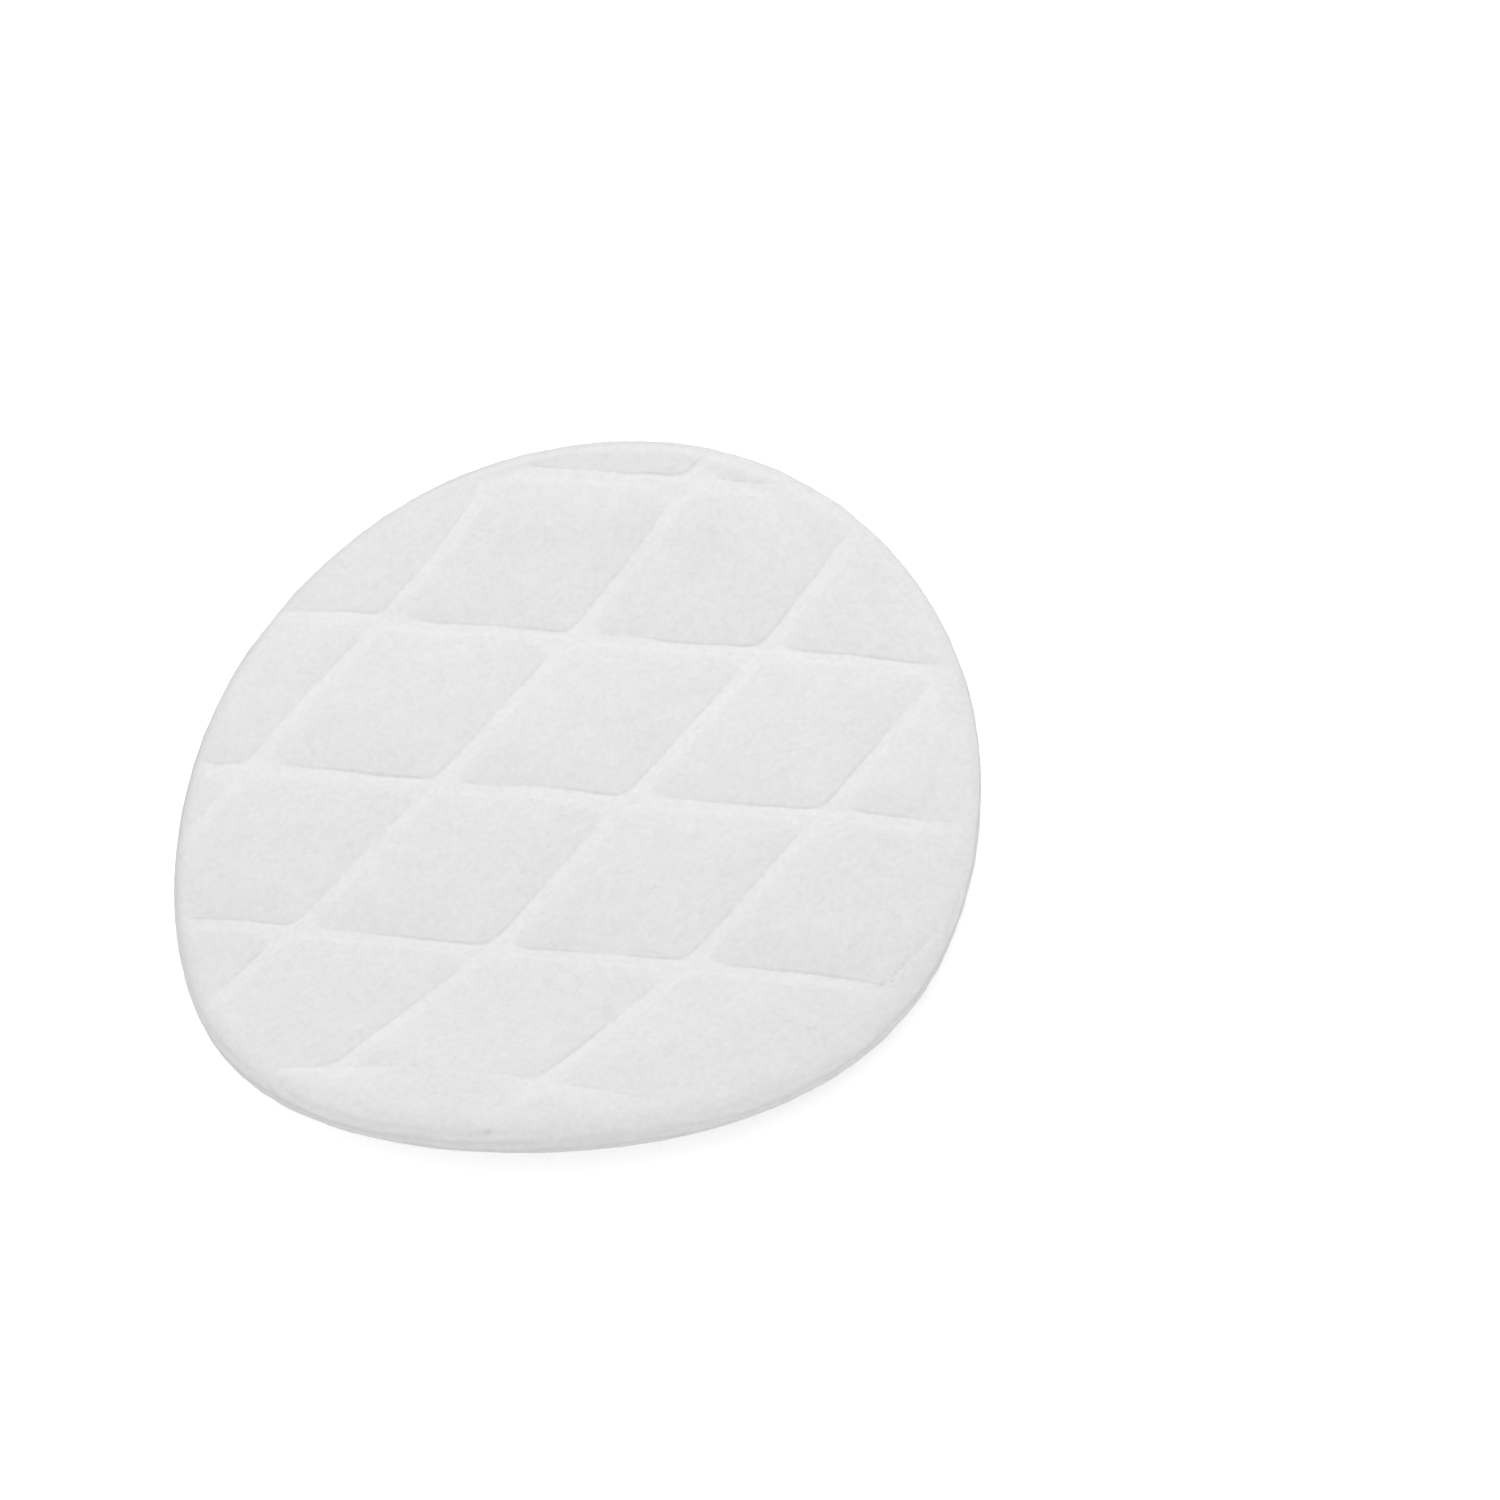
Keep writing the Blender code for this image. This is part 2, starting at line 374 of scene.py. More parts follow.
# %% One worn stretch
WORN_PLACE = np.array((-13.7, -20.0)) * MM
WORN_ALONG = 5.2 * MM
WORN_ACROSS = 3.0 * MM
WORN_SHARE = 0.88


def worn(points):
    """Less than 1 where handling has let one stretch of a groove swell shut again."""
    along = (points - WORN_PLACE) @ FIRST_RUN / WORN_ALONG
    across = (points - WORN_PLACE) @ CURL_HEADING / WORN_ACROSS
    return 1 - WORN_SHARE * np.exp(-(along**4) - across**4)


print("at its middle the worn stretch keeps", round(worn(WORN_PLACE[None])[0], 2), "of its depth")


# %% The press
def pressed_half(shell, side):
    """The half shell with its quilting, and how hard each point was pressed, from 0 to 1. On each
    groove's soft, lit side that share also reaches up the shoulder, as a painted highlight.
    """
    flat = shell[:, :2]
    past_floor = inward_distance(flat) - GROOVE_FLOOR / 2
    fade = quilt_fade(flat) * (worn(flat) if side > 0 else 1.0)
    steep = steep_side(flat)
    run = WALL_RUN + SOFT_SIDE_RUN * (1 - steep)
    wall = (1 - np.clip(past_floor / run, 0.0, 1.0)) ** WALL_CURVE
    if side > 0:
        steps = lattice_steps(flat)
        from_corner = np.hypot(steps[0] % 1, 1 - steps[1] % 1) / BLUNT_CORNER_SHARE
        middle = WALL_MIDDLE + BLUNT_CORNER_MORE * np.exp(-(from_corner**2))
        spread = WALL_UNEVEN * soft_noise(shell, WALL_UNEVEN_PITCH, offset=21.7)
        uneven = np.maximum(middle + spread, WALL_LEAST)
        uneven = uneven * (SOFT_SIDE_SHARE + (1 - SOFT_SIDE_SHARE) * steep)
        shoulder = left_to_climb(past_floor, SHOULDER_REACH)
        rows, columns = (np.floor(step).astype(int) + PILLOW_ROWS // 2 for step in steps)
        stand = pillow_heights[rows, columns] * (1 - shoulder)
        sunk = WALL_DEPTH * uneven * wall + SHOULDER_DEPTH * shoulder - stand
    else:
        sunk = UNDER_GROOVE_DEPTH * left_to_climb(past_floor, UNDER_SHOULDER_REACH)
    made = shell.copy()
    made[:, 2] -= side * sunk * fade
    # The second value is how hard the web was pressed. It also runs up each groove's soft side,
    # which faces the lamp, so the whiter tone it brings is partly a painted highlight.
    return made, wall * fade


# %% [markdown]
# ## Joining the halves
#
# Both halves use the same ring of points at the middle of the rim. Merging that ring later closes
# the pad. Until then each point keeps the turn of the rim, its side and how hard it was pressed,
# which also holds the painted highlight on each groove's lit side: the steps below need them, and
# they become the attributes that the finish and the lint read.

# %% Build both halves
NEAR_GROOVE = (
    0.0, 0.15, 0.28, 0.35, 0.38, 0.42, 0.46, 0.51, 0.57, 0.66, 0.8, 1.0, 1.25, 1.55, 1.9
)
NEAR_GROOVE_UNDER = (0.0, 0.35, 0.55, 0.8, 1.1, 1.6, 2.2)
UPPER_PITCH = 0.36 * MM
UNDER_PITCH = 0.5 * MM
RIM_SEGMENTS = 540
RIM_RINGS = 12


def pad_halves():
    """The flat sheets of both halves. The upper one also gets the rows of the fold."""
    upper_lines = crowded_lines([distance * MM for distance in NEAR_GROOVE], UPPER_PITCH)
    lower_lines = crowded_lines([distance * MM for distance in NEAR_GROOVE_UNDER], UNDER_PITCH)
    upper = sheet_template(upper_lines, RIM_SEGMENTS, RIM_RINGS, fold_rows())
    lower = sheet_template(lower_lines, RIM_SEGMENTS, RIM_RINGS)
    return (upper, 1), (lower, -1)


def joined_pad():
    """Both pressed halves in one list: points, turns, sides, press with its painted highlight, and
    triangles.
    """
    points, turns, sides, press_and_highlight, faces = [], [], [], [], []
    start = 0
    for (template, turn, links), side in pad_halves():
        triangles = triangulated(template, links)
        shell, pressed_with_highlight = pressed_half(wrapped_half(template, turn, side), side)
        points.append(shell)
        turns.append(turn)
        sides.append(np.full(len(shell), side))
        press_and_highlight.append(pressed_with_highlight)
        for triangle in triangles:
            order = triangle if side > 0 else triangle[::-1]
            faces.append([start + index for index in order])
        start += len(shell)
    joined = [np.concatenate(part) for part in (points, turns, sides, press_and_highlight)]
    return *joined, faces


pad_points, rim_turn, pad_side, press_and_highlight_share, pad_faces = joined_pad()
print("pad", len(pad_points), "points,", len(pad_faces), "triangles")

# %% [markdown]
# ## A fold in the rim
#
# One stretch of the rim was pinched by a finger or by the next pad, and a short fold stayed in it:
# a narrow furrow just inside the rim, a little askew to it, with a soft ridge outside. It could be
# sculpted by hand. Two bell curves across a line say the same in numbers, so it is the same each
# time.

# %% Press the fold in
FOLD_DEPTH = 0.3 * MM
RIDGE_SHARE = 0.4
RIDGE_WIDTHS = 2.5


def moved(name, before, after):
    """Say how far a step moved the points, and pass the new points on."""
    farthest = np.linalg.norm(after - before, axis=1).max()
    print(name, "moved the points by up to", round(farthest / MM, 3), "mm")
    return after


def folded(points, turn, side):
    """The points with the furrow and its ridge, on the upper side alone."""
    past, off = fold_place(points)
    along = np.clip(1 - (past / FOLD_HALF_SPAN) ** 2, 0.0, 1.0) ** 2
    widths = off / FOLD_WIDTH
    ridge = RIDGE_SHARE * np.exp(-((widths / RIDGE_WIDTHS - 1) ** 2))
    furrow = np.exp(-(widths**2)) - ridge
    made = points.copy()
    made[:, 2] -= np.where(side > 0, np.cos(turn), 0.0) * FOLD_DEPTH * along * furrow
    return made


pad_points = moved("the fold", pad_points, folded(pad_points, rim_turn, pad_side))

# %% [markdown]
# ## Grooves that wander
#
# Soft web stretches as it leaves the rollers, so no groove of a real pad is quite straight. Three
# moves make that: a slow bow of the whole lattice, a wander a few millimetres long, and a fine
# unsteadiness along each edge. All of them fade out at the rim and leave the outline alone.

# %% Let the grooves drift and wander
DRIFT_ALONG = (0.05, -0.37, 0.17, -0.35, 0.22, 0.0)
DRIFT_ACROSS = (-0.4, 0.26, -0.36, 0.42, 0.37, 1.23)
WANDER = 0.27 * MM
WANDER_PITCH = 7.0 * MM
FINE_WANDER = 0.055 * MM
FINE_WANDER_PITCH = 1.3 * MM
WANDER_OFFSETS = (11.3, 47.9)
FINE_WANDER_OFFSET = 40


def drifted(points):
    """A slow bow of the whole lattice, in terms of a point's share of the radius on X and Y."""
    x, y = points[:, 0] / PAD_RADIUS, points[:, 1] / PAD_RADIUS
    terms = np.column_stack([np.ones_like(x), x, y, x * x, x * y, y * y])
    return np.column_stack([terms @ DRIFT_ALONG, terms @ DRIFT_ACROSS]) * MM


def wandered(points):
    """The points with the bow and both wanders, which fade out at the rim."""
    made = points.copy()
    fade = quilt_fade(points)
    made[:, :2] += fade[:, None] * drifted(points)
    for axis, offset in enumerate(WANDER_OFFSETS):
        slow = WANDER * soft_noise(points, WANDER_PITCH, offset)
        fine = FINE_WANDER * soft_noise(points, FINE_WANDER_PITCH, offset + FINE_WANDER_OFFSET)
        made[:, axis] += fade * (slow + fine)
    return made


pad_points = moved("the wander", pad_points, wandered(pad_points))

# %% [markdown]
# ## The cut rim
#
# Where the knife went through, the layers of the carded web show as soft bands that run round the
# rim, with loose tufts between them. They are pushed out of the rim sideways, and fade on the
# faces.

# %% Layers of the rim
RIM_SHOWN_CURVE = 1.5
LAYER_COUNT = 3.4
LAYER_DEPTH = 0.05 * MM
LAYER_DRIFT = 0.8
LAYER_DRIFT_PITCH = 9.0 * MM
TUFT_DEPTH = 0.07 * MM
TUFT_PITCH = 1.5 * MM
FINE_TUFT_PITCH = 0.6 * MM
FINE_TUFT_SHARE = 0.5


def layered(points, turn):
    """The points with the layers and tufts of the cut rim."""
    shown = np.sin(turn) ** RIM_SHOWN_CURVE
    drift = LAYER_DRIFT * soft_noise(points, LAYER_DRIFT_PITCH, offset=3.3, stretch=(1, 1, 0.3))
    bands = np.sin(2 * math.pi * (points[:, 2] / PAD_THICKNESS * LAYER_COUNT + drift))
    tufts = soft_noise(points, TUFT_PITCH, offset=61.0, stretch=(1, 1, 2.6))
    tufts = tufts + FINE_TUFT_SHARE * soft_noise(points, FINE_TUFT_PITCH, offset=7.0)
    push = shown * (LAYER_DEPTH * bands + TUFT_DEPTH * tufts)
    made = points.copy()
    made[:, :2] += outward(points) * push[:, None]
    return made


pad_points = moved("the layers", pad_points, layered(pad_points, rim_turn))

# %% [markdown]
# ## Soft unevenness of the faces
#
# Loose cotton mounds a little between presses. Three sizes of soft bumps are added along Z: broad
# ones that catch the light, small ones, and the finest that the mesh can hold. What is finer still
# is left to the bump in the material.

# %% Mounds
MOUNDS = ((3.4 * MM, 0.045 * MM), (1.1 * MM, 0.022 * MM), (0.5 * MM, 0.012 * MM))


def mounded(points, turn):
    """The points with soft bumps on both faces, each pitch with noise of its own."""
    made = points.copy()
    side = np.where(points[:, 2] > PAD_THICKNESS / 2, 1.0, -1.0)
    soft = np.cos(turn) ** 2
    for pitch, height in MOUNDS:
        made[:, 2] += side * soft * height * soft_noise(points, pitch, offset=100 * pitch / MM)
    return made


pad_points = moved("the mounds", pad_points, mounded(pad_points, rim_turn))

# %% [markdown]
# ## Pinch, pull and curl
#
# The knife and the handling thin the rim from both faces. A soft disc isn't a perfect circle
# either: the web is pulled a percent or so out of round, and two opposite sides curl up about the
# grooves of the first family, as they do on a pad that has leaned against something. The middle
# strip lies flat, and the pad rests on it.

# %% Pinch, pull, curl and centre
RIM_PINCH_CURVE = 1.5


def pinched(points):
    """The rim thinned towards the middle of the web."""
    share = np.clip(1 - (PAD_RADIUS - radius_of(points)) / RIM_PINCH_WIDTH, 0.0, 1.0)
    middle = PAD_THICKNESS / 2
    made = points.copy()
    made[:, 2] = middle + (made[:, 2] - middle) * (1 - RIM_PINCH * share**RIM_PINCH_CURVE)
    return made


def pulled(points):
    """The web pulled a little out of round, in two, three and four lobes."""
    radius = radius_of(points) / PAD_RADIUS
    heading = heading_of(points)
    stretch = np.ones(len(points))
    for lobes, share, lobe_heading in WEB_PULLS:
        past = heading - math.radians(lobe_heading)
        stretch += share * radius**lobes * np.cos(lobes * past)
    made = points.copy()
    made[:, :2] *= stretch[:, None]
    return made


def curled(points):
    """Two opposite sides lifted along a bow, square to the web, so it keeps its thickness."""
    across = points[:, :2] @ CURL_HEADING
    free_width = PAD_RADIUS - CURL_FLAT_STRIP / 2
    past = np.maximum(np.abs(across) - CURL_FLAT_STRIP / 2, 0.0) / free_width
    slope = np.sign(across) * 2 * CURL_LIFT * past / free_width
    made = points.copy()
    made[:, :2] -= (slope * points[:, 2])[:, None] * CURL_HEADING
    made[:, 2] += CURL_LIFT * past**2
    return made


def settled(points):
    """The finished form, over the frame's origin and nowhere below the floor."""
    made = curled(pulled(pinched(points)))
    middle = (made[:, :2].min(0) + made[:, :2].max(0)) / 2
    made[:, :2] -= middle
    made[:, 2] = np.maximum(made[:, 2], 0.0)
    return made


pad_points = settled(pad_points)
print("pad size", np.round(np.ptp(pad_points, axis=0) / MM, 2), "mm")

# %% [markdown]
# ## The pad's mesh
#
# The points and triangles become one mesh. Point attributes carry what the shape knows on to the
# finish: where the web is pressed, where it was cut, how far the rim rounds over, and which face
# is which. Merging the ring at the middle of the rim closes the shell, and the count of open edges
# proves it.

# %% The pad's mesh
# Where the finish paints shade on the rim: more towards the far rim, where it turns away from the
# eye, and on the cut rim more on its lower half than on its upper.
FAR_RIM_HEADING = math.radians(110.0)
FAR_RIM_MORE_SHADE = 0.9
CUT_CURVE_UPPER = 4
CUT_CURVE_UNDER = 2
RIM_MIDDLE_TURN = math.pi / 2 - 1e-6
SEAM_REACH = 0.002 * MM


def pad_shares():
    """The point attributes of the pad, each from 0 to about 1."""
    # The cut share also sets where the rim's painted shade goes; the under side's lower power
    # spreads it further up from the lower edge.
    cut_rim_and_shade = np.sin(rim_turn) ** np.where(pad_side > 0, CUT_CURVE_UPPER, CUT_CURVE_UNDER)
    far = np.clip(np.cos(heading_of(pad_points) - FAR_RIM_HEADING), 0.0, 1.0)
    return {
        "pressed_with_highlight": press_and_highlight_share,
        "cut_rim_and_shade": cut_rim_and_shade,
        "painted_rim_shade_share": np.sin(rim_turn) * (1 + FAR_RIM_MORE_SHADE * far),
        "upper": np.where(pad_side > 0, 1 - cut_rim_and_shade, 0.0),
        "under": np.where(pad_side < 0, 1 - cut_rim_and_shade, 0.0),
    }


def linked(name, data):
    """A new object in the scene."""
    made = bpy.data.objects.new(name, data)
    bpy.context.scene.collection.objects.link(made)
    return made


def pad_object():
    """The closed pad as a smooth-shaded object."""
    mesh = bpy.data.meshes.new("pad_web")
    mesh.from_pydata([tuple(point) for point in pad_points], [], pad_faces)
    for name, values in pad_shares().items():
        mesh.attributes.new(name, "FLOAT", "POINT").data.foreach_set("value", values)
    form = bmesh.new()
    form.from_mesh(mesh)
    seam = [vert for vert, turn in zip(form.verts, rim_turn) if turn > RIM_MIDDLE_TURN]
    bmesh.ops.remove_doubles(form, verts=seam, dist=SEAM_REACH)
    bmesh.ops.recalc_face_normals(form, faces=form.faces)
    open_edges = sum(1 for edge in form.edges if len(edge.link_faces) != 2)
    print("open edges", open_edges, "volume", round(form.calc_volume() / MM**3, 1), "mm3")
    form.to_mesh(mesh)
    form.free()
    mesh.shade_smooth()
    return linked("pad_web", mesh)


pad = pad_object()

# %% [markdown]
# ## Helpers for nodes
#
# Materials and Geometry Nodes are built from nodes that are linked by hand here. A few helpers keep
# that short: each adds one node, feeds its inputs with plain values or with other nodes' outputs,
# and returns its own output.


# %% Node helpers
def feed(links, value, socket):
    """Give an input either another node's output or a plain value."""
    if isinstance(value, bpy.types.NodeSocket):
        links.new(value, socket)
    else:
        socket.default_value = value


def maths(nodes, links, operation, first, second):
    """One maths node."""
    node = nodes.new("ShaderNodeMath")
    node.operation = operation
    feed(links, first, node.inputs[0])
    feed(links, second, node.inputs[1])
    return node.outputs[0]


def plus_share(nodes, links, total, value, share):
    """A total with a share of a value added to it."""
    return maths(nodes, links, "ADD", maths(nodes, links, "MULTIPLY", value, share), total)


def ranged(nodes, links, value, come, go):
    """A value taken from one range to another, and kept inside it."""
    node = nodes.new("ShaderNodeMapRange")
    feed(links, value, node.inputs["Value"])
    for name, end in zip(("From Min", "From Max", "To Min", "To Max"), (*come, *go)):
        feed(links, end, node.inputs[name])
    return node.outputs["Result"]


# %% [markdown]
# ## Stage, light and camera
#
# The floor is plain and pale. Only the camera sees its extra brightness, so it turns white without
# lighting the pad, and it still takes the pad's shadow.

# %% Floor
FLOOR_SIZE = 3.0
FLOOR_COLOUR = (0.93, 0.93, 0.93, 1.0)
FLOOR_LIFT = 0.42
WHITE = (1.0, 1.0, 1.0, 1.0)


def seen_directly(nodes, links):
    """1 for rays that come straight from the camera, or by a mirror or through glass."""
    path = nodes.new("ShaderNodeLightPath").outputs
    plain = maths(nodes, links, "MAXIMUM", path["Is Camera Ray"], path["Is Glossy Ray"])
    return maths(nodes, links, "MAXIMUM", plain, path["Is Transmission Ray"])


def make_floor():
    """A wide, plain floor at height 0."""
    bpy.ops.mesh.primitive_plane_add(size=FLOOR_SIZE, location=(0, 0, 0))
    floor = bpy.context.object
    floor.name = "floor"
    material = bpy.data.materials.new("white floor")
    material.use_nodes = True
    nodes, links = material.node_tree.nodes, material.node_tree.links
    shader = nodes["Principled BSDF"]
    shader.inputs["Base Color"].default_value = FLOOR_COLOUR
    shader.inputs["Roughness"].default_value = 1.0
    shader.inputs["Specular IOR Level"].default_value = 0.0
    shader.inputs["Emission Color"].default_value = WHITE
    lift = maths(nodes, links, "MULTIPLY", seen_directly(nodes, links), FLOOR_LIFT)
    links.new(lift, shader.inputs["Emission Strength"])
    floor.data.materials.append(material)
    return floor


floor = make_floor()
print(floor.name, FLOOR_SIZE, "m wide")

# %% [markdown]
# The light is that of a plain white studio: an even sky from all round, and one soft lamp high up
# behind the pad, which draws the dark line along the steep side of each groove.

# %% World and lamp
SKY = 0.86
KEY_POWER = 0.066
KEY_SIZE = 0.10
KEY_HEADING = math.radians(52.0)
KEY_HEIGHT = math.radians(50.0)
KEY_DISTANCE = 0.16
KEY_AIM = Vector((0.0, 0.0, 2.0 * MM))


def make_world():
    """A white sky that lights the pad a little less brightly than it shows."""
    world = bpy.data.worlds.new("plain studio")
    world.use_nodes = True
    bpy.context.scene.world = world
    nodes, links = world.node_tree.nodes, world.node_tree.links
    background = nodes["Background"]
    background.inputs["Color"].default_value = WHITE
    strength = ranged(nodes, links, seen_directly(nodes, links), (0.0, 1.0), (SKY, 1.0))
    links.new(strength, background.inputs["Strength"])


def make_key():
    """The one lamp, a square of soft light that faces the pad."""
    data = bpy.data.lights.new("key", "AREA")
    data.energy = KEY_POWER
    data.size = KEY_SIZE
    lamp = linked("key", data)
    level = math.cos(KEY_HEIGHT)
    toward = Vector((
        math.cos(KEY_HEADING) * level, math.sin(KEY_HEADING) * level, math.sin(KEY_HEIGHT)
    ))
    lamp.location = KEY_AIM + KEY_DISTANCE * toward
    lamp.rotation_euler = (lamp.location - KEY_AIM).to_track_quat("Z", "Y").to_euler()
    return lamp


make_world()
key = make_key()
print(key.name, "lamp at", [round(side / MM, 1) for side in key.location], "mm")

# %% [markdown]
# The camera looks down on the pad at the photograph's angle, and is rolled by as much as the
# photograph's pad leans over.

# %% Camera
CAMERA_AIM = Vector((13.26, -2.26, 4.0)) * MM
CAMERA_TILT = math.radians(56.11)
CAMERA_TURN = math.radians(3.56)
CAMERA_ROLL = math.radians(-24.63)
CAMERA_DISTANCE = 271.7 * MM
CAMERA_LENS = 96.0
CAMERA_SENSOR = 36.0
CAMERA_NEAREST = 0.01
CAMERA_FARTHEST = 20.0


def make_camera():
    """The camera, turned about its aim by a heading, a tilt and a roll."""
    data = bpy.data.cameras.new("camera")
    data.lens = CAMERA_LENS
    data.sensor_width = CAMERA_SENSOR
    data.clip_start = CAMERA_NEAREST
    data.clip_end = CAMERA_FARTHEST
    camera = linked("camera", data)
    level = Vector((math.cos(CAMERA_TURN), math.sin(CAMERA_TURN), 0.0))
    ahead = Vector((-level.y, level.x, 0.0))
    forward = math.cos(CAMERA_TILT) * ahead - Vector((0.0, 0.0, math.sin(CAMERA_TILT)))
    upright = level.cross(forward)
    right = math.cos(CAMERA_ROLL) * level + math.sin(CAMERA_ROLL) * upright
    up = math.cos(CAMERA_ROLL) * upright - math.sin(CAMERA_ROLL) * level
    turned = Matrix((right, up, -forward)).transposed()
    place = CAMERA_AIM - CAMERA_DISTANCE * forward
    camera.matrix_world = Matrix.Translation(place) @ turned.to_4x4()
    bpy.context.scene.camera = camera
    return camera


camera = make_camera()
camera_place = camera.matrix_world.translation
print(camera.name, "at", [round(side / MM, 1) for side in camera_place], "mm")

# %% [markdown]
# ## The look of cotton
#
# Bleached cotton is a plain white that scatters light at once and hardly shines. What the eye reads
# as cotton is a faint, cloudy unevenness of three sizes, and under it the run of the fibres. One
# shader group makes both, so the web and the loose fibres on it stay the same stuff.

# %% The cotton group
CLOUDS = ((2600.0, 0.066), (900.0, 0.028), (180.0, 0.016))
CLOUD_DETAIL = 2.0
CLOUD_RELIEF = 900.0
FIBRE_RUNS = (
    ((0.3, 0.2, 0.9), (500.0, 5200.0, 2000.0)),
    ((0.1, -0.3, -0.5), (5200.0, 520.0, 2000.0)),
)
FIBRE_RELIEF_SHARE = 0.5
FIBRE_WARP = 0.6


def noise_at(nodes, links, vector, scale, detail, warp=0.0):
    """Noise from 0 to 1 at a place on the object."""
    node = nodes.new("ShaderNodeTexNoise")
    node.inputs["Scale"].default_value = scale
    node.inputs["Detail"].default_value = detail
    node.inputs["Distortion"].default_value = warp
    links.new(vector, node.inputs["Vector"])
    return node.outputs["Fac"]


def cotton_group():
    """In: how white the loose web is, how white the pressed web with its painted highlight is, and
    how much of the second. Out: tone, height.
    """
    group = bpy.data.node_groups.new("cotton web", "ShaderNodeTree")
    for name in ("Tone", "Pressed Highlight Tone", "Pressed Highlight Share"):
        group.interface.new_socket(name, in_out="INPUT", socket_type="NodeSocketFloat")
    for name in ("Tone", "Height"):
        group.interface.new_socket(name, in_out="OUTPUT", socket_type="NodeSocketFloat")
    nodes, links = group.nodes, group.links
    given, made = nodes.new("NodeGroupInput").outputs, nodes.new("NodeGroupOutput").inputs
    place = nodes.new("ShaderNodeTexCoord").outputs["Object"]
    cloud, height = 1.0, 0.0
    for scale, share in CLOUDS:
        plain = noise_at(nodes, links, place, scale, CLOUD_DETAIL)
        grain = maths(nodes, links, "SUBTRACT", plain, 0.5)
        cloud = plus_share(nodes, links, cloud, grain, 2 * share)
        height = plus_share(nodes, links, height, grain, CLOUD_RELIEF / scale)
    for turn, stretch in FIBRE_RUNS:
        mapping = nodes.new("ShaderNodeMapping")
        mapping.inputs["Rotation"].default_value = turn
        mapping.inputs["Scale"].default_value = stretch
        links.new(place, mapping.inputs["Vector"])
        strand = noise_at(nodes, links, mapping.outputs["Vector"], 1.0, 1.0, FIBRE_WARP)
        height = plus_share(nodes, links, height, strand, FIBRE_RELIEF_SHARE)
    # The pressed tone is whiter: partly the denser pressed cotton, and partly a painted highlight on
    # the lit side of each groove and painted light against the shade in the groove.
    tones = (given["Tone"], given["Pressed Highlight Tone"])
    white = ranged(nodes, links, given["Pressed Highlight Share"], (0.0, 1.0), tones)
    links.new(maths(nodes, links, "MULTIPLY", white, cloud), made["Tone"])
    links.new(height, made["Height"])
    return group


cotton_web = cotton_group()
print(cotton_web.name, "group with", len(cotton_web.nodes), "nodes")

# %% A cotton material
RELIEF_DEPTH = 0.03 * MM
COTTON_DIFFUSE_ROUGHNESS = 0.6
COTTON_SHINE = 0.1


def share_of(nodes, name):
    """A point attribute of the pad."""
    node = nodes.new("ShaderNodeAttribute")
    node.attribute_name = name
    return node.outputs["Fac"]


def cotton_material(name, tone, pressed_and_highlight_tone, relief, extra=None):
    """A cotton material. extra may change the tone before it reaches the shader."""
    material = bpy.data.materials.new(name)
    material.use_nodes = True
    nodes, links = material.node_tree.nodes, material.node_tree.links
    shader = nodes["Principled BSDF"]
    web = nodes.new("ShaderNodeGroup")
    web.node_tree = cotton_web
    web.inputs["Tone"].default_value = tone
    web.inputs["Pressed Highlight Tone"].default_value = pressed_and_highlight_tone
    links.new(share_of(nodes, "pressed_with_highlight"), web.inputs["Pressed Highlight Share"])
    shown = extra(nodes, links, web.outputs["Tone"]) if extra else web.outputs["Tone"]
    links.new(shown, shader.inputs["Base Color"])
    bump = nodes.new("ShaderNodeBump")
    bump.inputs["Strength"].default_value = relief
    bump.inputs["Distance"].default_value = RELIEF_DEPTH
    links.new(web.outputs["Height"], bump.inputs["Height"])
    links.new(bump.outputs["Normal"], shader.inputs["Normal"])
    shader.inputs["Roughness"].default_value = 1.0
    shader.inputs["Diffuse Roughness"].default_value = COTTON_DIFFUSE_ROUGHNESS
    shader.inputs["Specular IOR Level"].default_value = COTTON_SHINE
    return material


# %% [markdown]
# The web's own finish adds two things to the group. Painted shade darkens the rounded rim, most of
# all where it turns away from the eye and on the far rim, and a little on the cut rim's lower half.
# And one grey seed fleck sits low on the near rim.

# %% The web and its fleck
WEB_TONE = 0.815
# Partly the whiter pressed cotton, partly a painted highlight on each groove's lit side and painted
# light against the shade in its floor.
PRESSED_AND_HIGHLIGHT_TONE = 0.842
# The loose fibres are painted lighter than the web, to cancel the shade along their thin sides and
# under them.
LIGHTENED_FIBRE_TONE = 0.93
WEB_RELIEF = 0.2
FIBRE_RELIEF = 0.1
# Painted shade on the cut rim, strongest on its lower half.
CUT_RIM_SHADE_TONE = 0.985
# Painted shade where the rim turns away from the eye.
RIM_SHADE = 0.13
RIM_SHADE_SPAN = (0.2, 0.8)
FLECK_PLACE = np.array((-11.04, -24.26, 6.92)) * MM
FLECK_SIZE = np.array((0.36, 0.15, 0.13)) * MM
FLECK_TONE = 0.89
FLECK_EDGE = (0.6, 1.3)


def rim_shade_factor(nodes, links):
    """Painted shade on the rim, as a factor on the tone: a little where it was cut, most of all on
    its lower half, and more where it turns away from the eye, above all on the far rim.
    """
    cut_rim_shade = maths(nodes, links, "MULTIPLY", share_of(nodes, "cut_rim_and_shade"), 1 - CUT_RIM_SHADE_TONE)
    facing = nodes.new("ShaderNodeLayerWeight").outputs["Facing"]
    away = ranged(nodes, links, facing, RIM_SHADE_SPAN, (0.0, RIM_SHADE))
    turned = maths(nodes, links, "MULTIPLY", away, share_of(nodes, "painted_rim_shade_share"))
    return maths(nodes, links, "SUBTRACT", 1.0, maths(nodes, links, "ADD", cut_rim_shade, turned))


